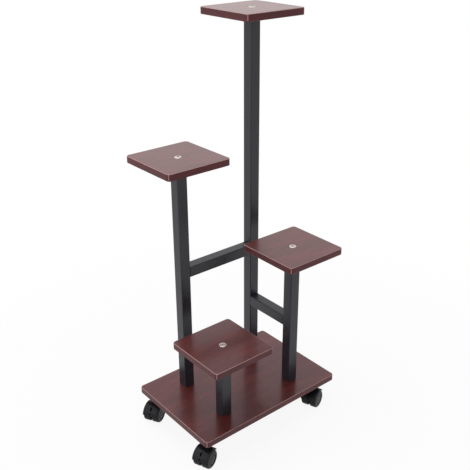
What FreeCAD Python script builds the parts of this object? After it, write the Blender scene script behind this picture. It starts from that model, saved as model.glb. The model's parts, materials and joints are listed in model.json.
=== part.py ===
import FreeCAD, Part
import math
import os
import Sketcher
from FreeCAD import Vector

# Rolling plant stand in millimetres.
# X runs along the long side of the base board, to the right. Y runs towards the back, Z up.
# The origin lies on the floor under the middle of the base board.
#
# A base board on four swivel casters carries four square posts of different height. Each post ends in a
# small square shelf, and two rails tie the tall post to its neighbours.

os.makedirs("parts", exist_ok=True)
doc = FreeCAD.newDocument("rolling_plant_stand")

# Driving dimensions
SIZES = {
    # Boards: faced fibreboard with rounded corners and broken arrises
    "base_length": 380,
    "base_width": 255,
    "shelf_side": 153,
    "board_thickness": 15,
    "board_corner_radius": 7.5,
    "board_arris": 1.2,
    # Posts: square steel tube, set on a grid about the middle of the base
    "tube_side": 25,
    "tube_wall": 1.5,
    "tube_corner_radius": 2.2,
    "post_spacing_x": 196,
    "post_spacing_y": 138,
    "tall_post_length": 815,
    "upper_post_length": 540,
    "middle_post_length": 330,
    "low_post_length": 160,
    # Rails: top faces above the base board
    "back_rail_top": 305,
    "side_rail_top": 170,
    # Threaded plugs in the tube ends
    "plug_length": 20,
    "plug_gap": 0.1,
    # Flat-headed joining bolts with a hexagon socket
    "bolt_diameter": 6,
    "bolt_length": 35,
    "bolt_hole_diameter": 6.6,
    "thread_gap": 0.05,
    "bolt_head_diameter": 17,
    "bolt_head_height": 2.2,
    "bolt_head_taper": 0.6,
    "bolt_socket_across": 4,
    "bolt_socket_depth": 1.8,
    "head_recess_gap": 0.6,
    "head_recess_depth": 1.6,
    # Casters: mounting plate and riveted stem
    "caster_inset": 29,
    "plate_side": 38,
    "plate_thickness": 2,
    "plate_corner": 4,
    "plate_hole_margin": 6,
    "plate_hole_diameter": 4.2,
    "stem_diameter": 8,
    "stem_depth": 18,
    "stem_ridge_height": 1.2,
    "stem_ridge_rise": 2.5,
    "stem_ridge_stand_out": 0.5,
    "running_gap": 0.05,
    "swivel_gap": 0.2,
    # Casters: hood
    "trail": 19.5,
    "hood_width": 38,
    "hood_wall": 3.1,
    "hood_edge": 2.6,
    "web_thickness": 4.6,
    "neck_height": 14,
    "collar_height": 2.5,
    "collar_diameter": 18,
    "crown_diameter": 20,
    "boss_diameter": 16,
    "socket_floor": 2,
    "axle_boss_diameter": 13,
    "rear_hem_rise": 3,
    "front_hem_rise": 18,
    "slot_width": 2.6,
    "slot_height": 8,
    "slot_rise": 15,
    # Casters: wheels and axle
    "wheel_diameter": 42,
    "wheel_side_gap": 0.7,
    "well_gap": 0.7,
    "tread_edge": 3.2,
    "tread_edge_width": 2.4,
    "axle_diameter": 6,
    "axle_cover": 4,
    "axle_end_gap": 0.5,
    # Directions in which the casters trail at rest, in degrees from +X
    "front_left_angle": 201,
    "back_left_angle": 208,
    "front_right_angle": 199,
    "back_right_angle": 20,
}
HALF_TURN = 180
FULL_TURN = 360
TINY = 1e-6

sheet = doc.addObject("Spreadsheet::Sheet", "Sizes")
for row, (name, size) in enumerate(SIZES.items(), 1):
    sheet.set(f"A{row}", name)
    sheet.set(f"B{row}", str(size))
    sheet.setAlias(f"B{row}", name)
doc.recompute()

# Heights that follow from the caster upwards
AXLE_Z = "(Sizes.wheel_diameter / 2)"
WELL_RADIUS = "(Sizes.wheel_diameter / 2 + Sizes.well_gap)"
HOOD_RADIUS = f"({WELL_RADIUS} + Sizes.hood_wall)"
HOOD_TOP = f"({AXLE_Z} + {HOOD_RADIUS})"
COLLAR_TOP = f"({HOOD_TOP} + Sizes.neck_height)"
PLATE_BOTTOM = f"({COLLAR_TOP} + Sizes.swivel_gap)"
BASE_BOTTOM = f"({PLATE_BOTTOM} + Sizes.plate_thickness)"
BASE_TOP = f"({BASE_BOTTOM} + Sizes.board_thickness)"
STEM_BOTTOM = f"({COLLAR_TOP} - Sizes.stem_depth)"
BORE_SIDE = "(Sizes.tube_side - 2 * Sizes.tube_wall)"

# Posts: side of the middle in X and Y, length, and the names of the post and of its shelf
POSTS = (
    (1, 1, "Sizes.tall_post_length", "tall_post", "top_shelf"),
    (-1, 1, "Sizes.upper_post_length", "upper_post", "upper_shelf"),
    (1, -1, "Sizes.middle_post_length", "middle_post", "middle_shelf"),
    (-1, -1, "Sizes.low_post_length", "low_post", "low_shelf"),
)
# Casters: side of the middle in X and Y, and the corner's name
CASTERS = (
    (-1, -1, "front_left"),
    (-1, 1, "back_left"),
    (1, -1, "front_right"),
    (1, 1, "back_right"),
)

sub_parts = []


def value(expression):
    """Present value of an expression in the sheet's sizes."""
    return float(sheet.evalExpression(str(expression).replace("Sizes.", "")))


def new_body(name):
    """Body for one sub-part or one master piece."""
    body = doc.addObject("PartDesign::Body", name)
    body.Label = name
    return body


def keep(piece):
    """Lists a finished sub-part for the check and the files."""
    sub_parts.append(piece)


def place(piece, x=0, y=0, z=0, axis=Vector(0, 0, 1), angle=0):
    """Binds a piece's position and its turn about an axis to the sheet."""
    start = value(angle)
    piece.Placement = FreeCAD.Placement(Vector(0, 0, 0), FreeCAD.Rotation(axis, start))
    for coordinate, expression in zip("xyz", (x, y, z)):
        if expression:
            piece.setExpression(f"Placement.Base.{coordinate}", str(expression))
    if start:
        piece.setExpression("Placement.Rotation.Angle", str(angle))


def sketch_on(body, plane, offset=None):
    """Sketch on one of the body's own origin planes, or moved along that plane's normal."""
    sketch = body.newObject("Sketcher::SketchObject", f"{body.Name}_sketch")
    origin_plane = next(p for p in body.Origin.OriginFeatures if p.Role == plane)
    sketch.AttachmentSupport = (origin_plane, [""])
    sketch.MapMode = "FlatFace"
    if offset:
        sketch.setExpression("AttachmentOffset.Base.z", offset)
    return sketch


def pin(sketch, geometry, point, x, y):
    """Ties a point of the sketch to its two coordinates."""
    for kind, axis, expression in (("DistanceX", -2, x), ("DistanceY", -1, y)):
        amount = value(expression)
        if abs(amount) < TINY:
            sketch.addConstraint(Sketcher.Constraint("PointOnObject", geometry, point, axis))
            continue
        number = sketch.addConstraint(Sketcher.Constraint(kind, -1, 1, geometry, point, amount))
        sketch.setExpression(f"Constraints[{number}]", str(expression))


def outline(sketch, points):
    """Closed outline of straight sides through points given as expressions."""
    places = [Vector(value(x), value(y), 0) for x, y in points]
    count = len(points)
    first = sketch.GeometryCount
    for side in range(count):
        sketch.addGeometry(Part.LineSegment(places[side], places[(side + 1) % count]), False)
    for side, (x, y) in enumerate(points):
        following = first + (side + 1) % count
        sketch.addConstraint(Sketcher.Constraint("Coincident", first + side, 2, following, 1))
        pin(sketch, first + side, 1, x, y)


def rectangle(sketch, width, depth, x="0", y="0"):
    """Rectangle about a centre."""
    corners = ((-1, -1), (1, -1), (1, 1), (-1, 1))
    outline(sketch, [(f"{x} + {i} * {width} / 2", f"{y} + {j} * {depth} / 2") for i, j in corners])


def hexagon(sketch, across_flats):
    """Regular hexagon about the sketch's origin."""
    reach = f"{across_flats} / (2 * cos(30 deg))"
    turns = range(0, FULL_TURN, FULL_TURN // 6)
    outline(sketch, [(f"{reach} * cos({turn} deg)", f"{reach} * sin({turn} deg)") for turn in turns])


def circle(sketch, diameter, x="0", y="0"):
    """Circle about a centre."""
    centre = Vector(value(x), value(y), 0)
    number = sketch.addGeometry(Part.Circle(centre, Vector(0, 0, 1), value(diameter) / 2), False)
    pin(sketch, number, 3, x, y)
    size = sketch.addConstraint(Sketcher.Constraint("Diameter", number, value(diameter)))
    sketch.setExpression(f"Constraints[{size}]", diameter)


def add_feature(body, kind, sketch):
    """Feature of a body that works on a sketch's outline."""
    feature = body.newObject(f"PartDesign::{kind}", f"{body.Name}_{kind.lower()}")
    feature.Profile = sketch
    sketch.Visibility = False
    return feature


def pad(body, sketch, length, symmetric=False, reverse=False):
    """Adds a sketch's outline over a length."""
    feature = add_feature(body, "Pad", sketch)
    feature.SideType = "Symmetric" if symmetric else "One side"
    feature.Reversed = reverse
    feature.setExpression("Length", length)
    doc.recompute()
    return feature


def pocket(body, sketch, depth=None, symmetric=False, reverse=False):
    """Cuts a sketch's outline, to a depth or all the way through, and checks that it cut something."""
    before = body.Shape.Volume
    feature = add_feature(body, "Pocket", sketch)
    feature.SideType = "Symmetric" if symmetric else "One side"
    feature.Reversed = reverse
    if depth:
        feature.setExpression("Length", depth)
    else:
        feature.Type = "ThroughAll"
    doc.recompute()
    if not body.Shape.Volume < before:
        raise ValueError(f"{feature.Label} cuts nothing")
    return feature


def revolve(body, sketch, axis=None, cut=False):
    """Adds or cuts what an outline sweeps round the sketch's upright axis, or round its own centre line."""
    before = body.Shape.Volume if cut else 0
    feature = add_feature(body, "Groove" if cut else "Revolution", sketch)
    feature.ReferenceAxis = axis or (sketch, ["V_Axis"])
    feature.Angle = FULL_TURN
    doc.recompute()
    if cut and not body.Shape.Volume < before:
        raise ValueError(f"{feature.Label} cuts nothing")
    return feature


def dress(body, kind, wanted, property_name, size):
    """Rounds or bevels the edges that a test picks."""
    base = body.Tip
    edges = [f"Edge{number}" for number, edge in enumerate(base.Shape.Edges, 1) if wanted(edge)]
    if not edges:
        raise ValueError(f"{body.Label} has no such edge")
    feature = body.newObject(f"PartDesign::{kind}", f"{body.Name}_{kind.lower()}")
    feature.Base = (base, edges)
    feature.setExpression(property_name, size)
    base.Visibility = False
    doc.recompute()
    return feature


def fillet(body, wanted, radius):
    return dress(body, "Fillet", wanted, "Radius", radius)


def chamfer(body, wanted, size):
    return dress(body, "Chamfer", wanted, "Size", size)


def running(direction):
    """Test for straight edges along a direction."""
    return lambda edge: (isinstance(edge.Curve, Part.Line)
                         and math.isclose(abs(edge.Curve.Direction.dot(direction)), 1, abs_tol=TINY))


upright = running(Vector(0, 0, 1))


def level_with(height):
    """Test for edges that lie wholly at a height."""
    target = value(height)
    return lambda edge: (math.isclose(edge.BoundBox.ZMin, target, abs_tol=TINY)
                         and math.isclose(edge.BoundBox.ZMax, target, abs_tol=TINY))


def rim(diameter):
    """Test for whole circles of a diameter."""
    return lambda edge: (isinstance(edge.Curve, Part.Circle)
                         and math.isclose(edge.Curve.Radius, value(diameter) / 2, abs_tol=TINY))


# Boards

def board(name, length, width, places):
    """Board with rounded corners, broken arrises and through holes for the joining bolts."""
    body = new_body(name)
    profile = sketch_on(body, "XY_Plane")
    rectangle(profile, length, width)
    pad(body, profile, "Sizes.board_thickness")
    fillet(body, upright, "Sizes.board_corner_radius")
    top = level_with("Sizes.board_thickness")
    bottom = level_with("0")
    chamfer(body, lambda edge: top(edge) or bottom(edge), "Sizes.board_arris")
    holes = sketch_on(body, "XY_Plane")
    for x, y in places:
        circle(holes, "Sizes.bolt_hole_diameter", x, y)
    pocket(body, holes, reverse=True)
    return body


def post_x(side):
    return f"({side} * Sizes.post_spacing_x / 2)"


def post_y(side):
    return f"({side} * Sizes.post_spacing_y / 2)"


def caster_x(side):
    return f"({side} * (Sizes.base_length / 2 - Sizes.caster_inset))"


def caster_y(side):
    return f"({side} * (Sizes.base_width / 2 - Sizes.caster_inset))"


def make_base_board():
    body = board("base_board", "Sizes.base_length", "Sizes.base_width",
                 [(post_x(i), post_y(j)) for i, j, *_ in POSTS])
    place(body, z=BASE_BOTTOM)
    keep(body)


def make_shelf(name, x, y, post_length):
    """Shelf with a shallow round recess for the bolt head."""
    body = board(name, "Sizes.shelf_side", "Sizes.shelf_side", [("0", "0")])
    recess = sketch_on(body, "XY_Plane", "Sizes.board_thickness")
    circle(recess, "(Sizes.bolt_head_diameter + 2 * Sizes.head_recess_gap)")
    pocket(body, recess, "Sizes.head_recess_depth")
    place(body, x, y, f"{BASE_TOP} + {post_length}")
    keep(body)


# Frame tubes

def square_tube(name, length, plane, symmetric=False):
    """Square tube with rounded corners, run out square to the plane of its section."""
    body = new_body(name)
    section = sketch_on(body, plane)
    rectangle(section, "Sizes.tube_side", "Sizes.tube_side")
    pad(body, section, length, symmetric)
    fillet(body, running(section.Placement.Rotation.multVec(Vector(0, 0, 1))), "Sizes.tube_corner_radius")
    bore = sketch_on(body, plane)
    rectangle(bore, BORE_SIDE, BORE_SIDE)
    pocket(body, bore, symmetric=symmetric, reverse=not symmetric)
    return body


def make_post(name, x, y, length):
    body = square_tube(name, length, "XY_Plane")
    place(body, x, y, BASE_TOP)
    keep(body)


def make_rails():
    """Rails butted between the posts, with their top faces at the named heights."""
    back = square_tube("back_rail", "Sizes.post_spacing_x - Sizes.tube_side", "YZ_Plane", symmetric=True)
    place(back, "0", post_y(1), f"{BASE_TOP} + Sizes.back_rail_top - Sizes.tube_side / 2")
    keep(back)
    side = square_tube("side_rail", "Sizes.post_spacing_y - Sizes.tube_side", "XZ_Plane", symmetric=True)
    place(side, post_x(1), "0", f"{BASE_TOP} + Sizes.side_rail_top - Sizes.tube_side / 2")
    keep(side)


# Plugs and bolts: one master of each, laid out as groups of copies

def copies(master, name, placements):
    """Group of copies of a master piece in one node."""
    links = []
    for number, (x, y, z, axis, angle) in enumerate(placements, 1):
        link = doc.addObject("App::Link", f"{name}_{number}")
        link.LinkedObject = master
        link.Label = f"{name}_{number}"
        place(link, x, y, z, axis, angle)
        links.append(link)
    group = doc.addObject("Part::Compound", name)
    group.Label = name
    group.Links = links
    keep(group)


def make_plug():
    """Threaded plug for a tube end: its mouth is level with z = 0 and its body hangs below."""
    body = new_body("plug_master")
    section = sketch_on(body, "XY_Plane")
    side = f"({BORE_SIDE} - 2 * Sizes.plug_gap)"
    rectangle(section, side, side)
    circle(section, "(Sizes.bolt_diameter + 2 * Sizes.thread_gap)")
    pad(body, section, "Sizes.plug_length", reverse=True)
    return body


def make_bolt():
    """Flat-headed bolt: the underside of the head is at z = 0 and the shank hangs below."""
    body = new_body("bolt_master")
    profile = sketch_on(body, "XZ_Plane")
    outline(profile, [
        ("0", "-Sizes.bolt_length"),
        ("Sizes.bolt_diameter / 2", "-Sizes.bolt_length"),
        ("Sizes.bolt_diameter / 2", "0"),
        ("Sizes.bolt_head_diameter / 2", "0"),
        ("Sizes.bolt_head_diameter / 2 - Sizes.bolt_head_taper", "Sizes.bolt_head_height"),
        ("0", "Sizes.bolt_head_height"),
    ])
    revolve(body, profile)
    socket = sketch_on(body, "XY_Plane", "Sizes.bolt_head_height")
    hexagon(socket, "Sizes.bolt_socket_across")
    pocket(body, socket, "Sizes.bolt_socket_depth")
    return body


def make_fasteners():
    """Plugs at both ends of each post, a bolt down through each shelf and one up through the base."""
    up, along_x = Vector(0, 0, 1), Vector(1, 0, 0)
    feet = [(post_x(i), post_y(j), BASE_TOP) for i, j, *_ in POSTS]
    tops = [(post_x(i), post_y(j), f"{BASE_TOP} + {length}") for i, j, length, *_ in POSTS]
    plug = make_plug()
    copies(plug, "post_top_plugs", [(*spot, up, 0) for spot in tops])
    copies(plug, "post_foot_plugs", [(*spot, along_x, HALF_TURN) for spot in feet])
    bolt = make_bolt()
    in_shelf = "Sizes.board_thickness - Sizes.head_recess_depth"
    copies(bolt, "shelf_bolts", [(x, y, f"{z} + {in_shelf}", up, 0) for x, y, z in tops])
    copies(bolt, "base_bolts", [(x, y, BASE_BOTTOM, along_x, HALF_TURN) for x, y, _ in feet])


# Casters: each piece is modelled about its swivel axis, trailing towards +X

def make_plate(name):
    """Square mounting plate with cut corners, four screw holes and the hole that the stem is riveted into."""
    body = new_body(name)
    section = sketch_on(body, "XY_Plane", PLATE_BOTTOM)
    rectangle(section, "Sizes.plate_side", "Sizes.plate_side")
    pad(body, section, "Sizes.plate_thickness")
    chamfer(body, upright, "Sizes.plate_corner")
    holes = sketch_on(body, "XY_Plane", PLATE_BOTTOM)
    circle(holes, "Sizes.stem_diameter")
    reach = "(Sizes.plate_side / 2 - Sizes.plate_hole_margin)"
    for i, j in ((-1, -1), (1, -1), (1, 1), (-1, 1)):
        circle(holes, "Sizes.plate_hole_diameter", f"{i} * {reach}", f"{j} * {reach}")
    pocket(body, holes, reverse=True)
    return body


RIDGE_RADIUS = "(Sizes.stem_diameter / 2 + Sizes.stem_ridge_stand_out)"
RIDGE_BOTTOM = f"({STEM_BOTTOM} + Sizes.stem_ridge_rise)"
RIDGE_TOP = f"({RIDGE_BOTTOM} + Sizes.stem_ridge_height)"


def make_stem(name):
    """Stem that the hood turns on, flush with the top of the plate, with the ridge that holds the hood up."""
    body = new_body(name)
    profile = sketch_on(body, "XZ_Plane")
    outline(profile, [
        ("0", STEM_BOTTOM),
        ("Sizes.stem_diameter / 2", STEM_BOTTOM),
        ("Sizes.stem_diameter / 2", RIDGE_BOTTOM),
        (RIDGE_RADIUS, RIDGE_BOTTOM),
        (RIDGE_RADIUS, RIDGE_TOP),
        ("Sizes.stem_diameter / 2", RIDGE_TOP),
        ("Sizes.stem_diameter / 2", BASE_BOTTOM),
        ("0", BASE_BOTTOM),
    ])
    revolve(body, profile)
    return body


def make_hood(name):
    """Moulded hood: two mudguards over the wheels, a web between them and the swivel socket."""
    body = new_body(name)
    rear = f"(Sizes.trail + {HOOD_RADIUS} + Sizes.hood_wall)"
    front = f"(Sizes.trail - {HOOD_RADIUS} - Sizes.hood_wall)"
    boss_bottom = f"({STEM_BOTTOM} - Sizes.swivel_gap - Sizes.socket_floor)"

    # Mudguards: a drum about the axle with soft rims, cut off along a slanting hem
    drum = sketch_on(body, "XZ_Plane")
    circle(drum, f"(2 * {HOOD_RADIUS})", "Sizes.trail", AXLE_Z)
    pad(body, drum, "Sizes.hood_width", symmetric=True)
    chamfer(body, rim(f"(2 * {HOOD_RADIUS})"), "Sizes.hood_edge")
    hem = sketch_on(body, "XZ_Plane")
    outline(hem, [
        (front, f"-{HOOD_RADIUS}"),
        (rear, f"-{HOOD_RADIUS}"),
        (rear, f"{AXLE_Z} + Sizes.rear_hem_rise"),
        (front, f"{AXLE_Z} + Sizes.front_hem_rise"),
    ])
    pocket(body, hem, symmetric=True)

    # Crown: a round neck that rises from the mudguards to the collar under the plate
    crown = sketch_on(body, "XZ_Plane")
    outline(crown, [
        ("0", boss_bottom),
        ("Sizes.boss_diameter / 2 - Sizes.socket_floor", boss_bottom),
        ("Sizes.boss_diameter / 2", f"{boss_bottom} + Sizes.socket_floor"),
        ("Sizes.crown_diameter / 2", HOOD_TOP),
        ("Sizes.collar_diameter / 2", f"{COLLAR_TOP} - Sizes.collar_height"),
        ("Sizes.collar_diameter / 2", COLLAR_TOP),
        ("0", COLLAR_TOP),
    ])
    revolve(body, crown)

    # Web that carries the axle between the wheels
    strut = sketch_on(body, "XZ_Plane")
    strut_height = "Sizes.wheel_diameter / 2"
    rectangle(strut, "Sizes.axle_boss_diameter", strut_height, "Sizes.trail", f"({AXLE_Z} + {strut_height} / 2)")
    pad(body, strut, "Sizes.web_thickness", symmetric=True)
    lug = sketch_on(body, "XZ_Plane")
    circle(lug, "Sizes.axle_boss_diameter", "Sizes.trail", AXLE_Z)
    pad(body, lug, "Sizes.web_thickness", symmetric=True)

    # Wheel wells on both sides of the web
    for offset, reverse in (("Sizes.web_thickness / 2", True), ("-Sizes.web_thickness / 2", False)):
        well = sketch_on(body, "XZ_Plane", offset)
        circle(well, f"(2 * {WELL_RADIUS})", "Sizes.trail", AXLE_Z)
        pocket(body, well, reverse=reverse)

    # Swivel socket, undercut for the ridge of the stem
    socket = sketch_on(body, "XZ_Plane")
    socket_radius = "(Sizes.stem_diameter / 2 + Sizes.running_gap)"
    undercut_radius = f"({RIDGE_RADIUS} + Sizes.running_gap)"
    floor = f"({STEM_BOTTOM} - Sizes.swivel_gap)"
    undercut_bottom = f"({RIDGE_BOTTOM} - Sizes.swivel_gap)"
    undercut_top = f"({RIDGE_TOP} + Sizes.swivel_gap)"
    outline(socket, [
        ("0", floor),
        (socket_radius, floor),
        (socket_radius, undercut_bottom),
        (undercut_radius, undercut_bottom),
        (undercut_radius, undercut_top),
        (socket_radius, undercut_top),
        (socket_radius, COLLAR_TOP),
        ("0", COLLAR_TOP),
    ])
    revolve(body, socket, cut=True)

    # Axle bore, and the slot in the back of the hood
    bore = sketch_on(body, "XZ_Plane")
    circle(bore, "Sizes.axle_diameter", "Sizes.trail", AXLE_Z)
    pocket(body, bore, symmetric=True)
    slot = sketch_on(body, "YZ_Plane", f"(Sizes.trail + {WELL_RADIUS} / 3)")
    slot_z = f"({AXLE_Z} + Sizes.slot_rise + Sizes.slot_height / 2)"
    rectangle(slot, "Sizes.slot_width", "Sizes.slot_height", "0", slot_z)
    pocket(body, slot, reverse=True)
    return body


WHEEL_INNER = "(Sizes.web_thickness / 2 + Sizes.wheel_side_gap)"
WHEEL_OUTER = "(Sizes.hood_width / 2)"
AXLE_LENGTH = "(Sizes.hood_width - 2 * Sizes.axle_cover)"


def make_wheel(name, side):
    """Wheel on one side of the web, side being 1 for +Y and -1 for -Y, with a blind bore for the axle."""
    body = new_body(name)

    def across(distance):
        return f"({side} * ({distance}))"

    tread_radius = "(Sizes.wheel_diameter / 2)"
    bore_radius = "(Sizes.axle_diameter / 2 + Sizes.running_gap)"
    axle_end = f"{AXLE_LENGTH} / 2 + Sizes.axle_end_gap"
    section = sketch_on(body, "YZ_Plane", "Sizes.trail")
    outline(section, [(across(y), f"{AXLE_Z} + {radius}") for y, radius in (
        (WHEEL_INNER, bore_radius),
        (WHEEL_INNER, tread_radius),
        (f"{WHEEL_OUTER} - Sizes.tread_edge_width", tread_radius),
        (WHEEL_OUTER, f"{tread_radius} - Sizes.tread_edge"),
        (WHEEL_OUTER, "0"),
        (axle_end, "0"),
        (axle_end, bore_radius),
    )])
    start = Vector(value(across(WHEEL_INNER)), value(AXLE_Z), 0)
    end = Vector(value(across(WHEEL_OUTER)), value(AXLE_Z), 0)
    centre_line = section.addGeometry(Part.LineSegment(start, end), True)
    pin(section, centre_line, 1, across(WHEEL_INNER), AXLE_Z)
    pin(section, centre_line, 2, across(WHEEL_OUTER), AXLE_Z)
    revolve(body, section, (section, ["Axis0"]))
    return body


def make_axle(name):
    """Plain pin pressed into the web."""
    body = new_body(name)
    section = sketch_on(body, "XZ_Plane")
    circle(section, "Sizes.axle_diameter", "Sizes.trail", AXLE_Z)
    pad(body, section, AXLE_LENGTH, symmetric=True)
    return body


def make_caster(corner, x_side, y_side):
    """All pieces of one caster, turned to the way it trails at rest. The plate stays square to the board."""
    plate = make_plate(f"{corner}_caster_plate")
    place(plate, caster_x(x_side), caster_y(y_side))
    keep(plate)
    turned = [
        make_stem(f"{corner}_caster_stem"),
        make_hood(f"{corner}_caster_hood"),
        make_axle(f"{corner}_caster_axle"),
        make_wheel(f"{corner}_caster_wheel_a", 1),
        make_wheel(f"{corner}_caster_wheel_b", -1),
    ]
    for piece in turned:
        place(piece, caster_x(x_side), caster_y(y_side), angle=f"Sizes.{corner}_angle")
        keep(piece)


make_base_board()
for x_side, y_side, length, post_name, shelf_name in POSTS:
    make_post(post_name, post_x(x_side), post_y(y_side), length)
    make_shelf(shelf_name, post_x(x_side), post_y(y_side), length)
make_rails()
make_fasteners()
for x_side, y_side, corner in CASTERS:
    make_caster(corner, x_side, y_side)
doc.recompute()

# Check everything before any file is written
for item in doc.Objects:
    if "Invalid" in item.State or "Error" in item.State:
        raise ValueError(f"{item.Label} failed to build")
for piece in sub_parts:
    if piece.Shape.isNull() or not piece.Shape.isValid():
        raise ValueError(f"{piece.Label} has no valid shape")
for piece in sub_parts:
    piece.Shape.exportStep(f"parts/{piece.Label}.step")
print(len(sub_parts), "sub-parts,", sum(len(piece.Shape.Solids) for piece in sub_parts), "solids")
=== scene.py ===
import json
from functools import partial
from math import acos, atan2, cos, degrees, pi, radians, sin, sqrt, tau

import bmesh
import bpy
from bpy.props import FloatProperty, FloatVectorProperty, IntProperty, PointerProperty
from mathutils import Matrix, Vector


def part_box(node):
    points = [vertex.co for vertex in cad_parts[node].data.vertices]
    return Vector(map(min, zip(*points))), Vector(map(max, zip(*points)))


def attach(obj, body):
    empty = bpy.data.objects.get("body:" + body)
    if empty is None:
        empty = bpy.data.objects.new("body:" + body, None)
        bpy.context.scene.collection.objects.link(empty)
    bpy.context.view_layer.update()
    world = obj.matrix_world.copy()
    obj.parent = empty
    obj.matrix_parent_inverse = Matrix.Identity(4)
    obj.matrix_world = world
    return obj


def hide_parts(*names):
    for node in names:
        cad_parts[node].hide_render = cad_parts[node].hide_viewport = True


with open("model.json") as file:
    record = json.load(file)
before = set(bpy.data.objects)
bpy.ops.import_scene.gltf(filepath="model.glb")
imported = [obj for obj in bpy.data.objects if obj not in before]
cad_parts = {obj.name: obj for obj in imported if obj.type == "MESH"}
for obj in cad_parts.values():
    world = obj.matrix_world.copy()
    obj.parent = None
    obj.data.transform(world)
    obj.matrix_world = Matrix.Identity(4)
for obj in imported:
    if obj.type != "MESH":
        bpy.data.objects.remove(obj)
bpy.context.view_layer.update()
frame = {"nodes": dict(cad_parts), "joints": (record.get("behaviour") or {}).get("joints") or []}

bl_info = {
    "name": "Rolling plant stand",
    "version": (1, 0, 0),
    "blender": (4, 5, 0),
    "location": "View3D > Sidebar > Plant stand",
    "description": "Boards, bolts, casters and finishes of a four-tier rolling plant stand",
    "category": "Object",
}

MM = 0.001

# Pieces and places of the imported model
BOARDS = ("base_board", "low_shelf", "middle_shelf", "upper_shelf", "top_shelf")
SHELF_POSTS = {
    "top_shelf": "tall_post", "upper_shelf": "upper_post",
    "middle_shelf": "middle_post", "low_shelf": "low_post",
}
RAILS = ("back_rail", "side_rail")
PLUGS = ("post_top_plugs", "post_foot_plugs")
CORNERS = ("front_left", "back_left", "front_right", "back_right")
JOINTS = {joint["name"]: joint for joint in frame["joints"]}
STEM_PLACES = {corner: Vector(JOINTS[f"{corner}_swivel_turn"]["pos_m"]) for corner in CORNERS}
AXLE_PLACE = Vector(JOINTS["front_left_wheel_a_spin"]["pos_m"])
TRAIL = (AXLE_PLACE - STEM_PLACES["front_left"]).xy.length
AXLE_HEIGHT = AXLE_PLACE.z

# Steps of each curve, the angle from which an edge is shaded sharp, the distance under which points join,
# and the radius of a circle that is next to nothing, so that a profile that follows it stays as drawn
ROUNDING_STEPS = 5
CORNER_STEPS = 8
SIDE_STEPS = 14
MUDGUARD_STEPS = 60
WEB_STEPS = 48
LUG_STEPS = 18
BEVEL_STEPS = 2
FILLET_STEPS = 3
DOME_STEPS = 5
HEAD_STEPS = 40
SHANK_STEPS = 24
SHARP_ANGLE = radians(32)
SEAM = 0.002 * MM
TURNED_SEAM = 0.004 * MM
LEAST_RADIUS = 0.001 * MM

# Boards: the flat kept beside each arris, the least radius of an inset corner, the softened rim of the
# recess, and the power that keeps the painted highlight line of an upright corner narrow
ARRIS_SUPPORT = 0.5 * MM
LEAST_CORNER = 1 * MM
RECESS_RIM = 0.3 * MM
CORNER_LINE_POWER = 9
# Upward share of a normal from which a face counts as level
LEVEL_ENOUGH = 0.7
# Metres in the print from one board to the next, and from the faces to the front and side edges
PRINT_STEP = (0.73, 0.19)
EDGE_SHIFTS = (1, 2)

# Hoods: the hem's rise above the axle, the arc that the mudguards are bent through before they are cut
# off, in degrees, the web, and the slot and peg hole in the back
BACK_HEM_RISE = 3 * MM
FRONT_HEM_RISE = 18 * MM
HEM_SOFTENING = 0.45 * MM
MUDGUARD_START = -6
MUDGUARD_SWEEP = 192
WEB_HALF_THICKNESS = 2.7 * MM
WEB_SOFTENING = 0.35 * MM
WEB_DEPTH_IN_WALL = 1.5 * MM
LUG_RADIUS = 6.5 * MM
SLOT_RISE = 19.4 * MM
PEG_HOLE_RISE = 9.2 * MM
CUT_HALF_DEPTH = 10 * MM

# Crown as (radius, height) in mm: the stem's socket and snap groove from the floor up, the neck from the
# collar down, and the foot inside the hood
CROWN_PROFILE = (
    (0, 41.6), (4.05, 41.6), (4.05, 44.1), (4.55, 44.1), (4.55, 45.7), (4.05, 45.7), (4.05, 59.8),
    (9, 59.8), (9, 57.3), (8.6, 55.6), (8.5, 53), (8.6, 50), (9.1, 47.6), (10, 45.8),
    (9.6, 44.4), (8, 41.6), (6, 39.6), (0, 39.6),
)
CROWN_ROUNDING = 0.5 * MM

# Wheel in mm: its face as (radius, depth below the rim), with a cap and a groove round it, and its back as
# (radius, height above the web's middle), with the hollow behind the tread and the bore
FACE_PROFILE = ((0, 0.4), (10.6, 0.4), (11.2, 1.3), (12.4, 1.3), (13, 0))
BACK_PROFILE = (
    (21, 4), (20.2, 3), (17.8, 3), (17.2, 8), (8.2, 8), (7.6, 3), (3.05, 3), (3.05, 15.5), (0, 15.5),
)
WHEEL_ROUNDING = 0.35 * MM

# Bolts and screws: the sizes among their tree's inputs, the radius of a hexagon for its width across flats,
# the width of a cross recess's arm for its length, the middle of the shank for its length, so that it starts
# a little inside the head, and how far the screws lie in from a plate's edges
FASTENER_SIZES = ("Head Width", "Head Height", "Recess Across", "Recess Depth", "Shank Width", "Shank Length")
HEXAGON_RADIUS_SHARE = 1 / sqrt(3)
CROSS_ARM_SHARE = 0.26
SHANK_MIDDLE_SHARE = -0.499
PLATE_HOLE_MARGIN = 6 * MM

# Camera: eye 1.1 m above the floor, in front of the left corner, looking 25 degrees down
EYE = (-0.8950, -1.0867, 1.1051)
YAW = radians(-39.27)
PITCH = radians(24.85)
ROLL = radians(-0.35)
SENSOR_WIDTH = 36
CLIP_START = 0.05

# Floor: its squares along a side, the share of white beside the stand, and the distances in metres from
# the middle of the stand between which that share grows to all
FLOOR_SQUARES = 8
WHITE_SHARE = 0.91
FADE_START = 0.35
FADE_END = 1.2


def linear(code):
    """Linear RGBA of an sRGB hex colour such as #44201a."""
    channels = [int(code[i:i + 2], 16) / 255 for i in (1, 3, 5)]
    return (*(c / 12.92 if c <= 0.04045 else ((c + 0.055) / 1.055) ** 2.4 for c in channels), 1.0)


def length(name, note, size):
    """Property for a size given in millimetres."""
    return FloatProperty(name=name, description=note, default=size * MM, unit="LENGTH")


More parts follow.
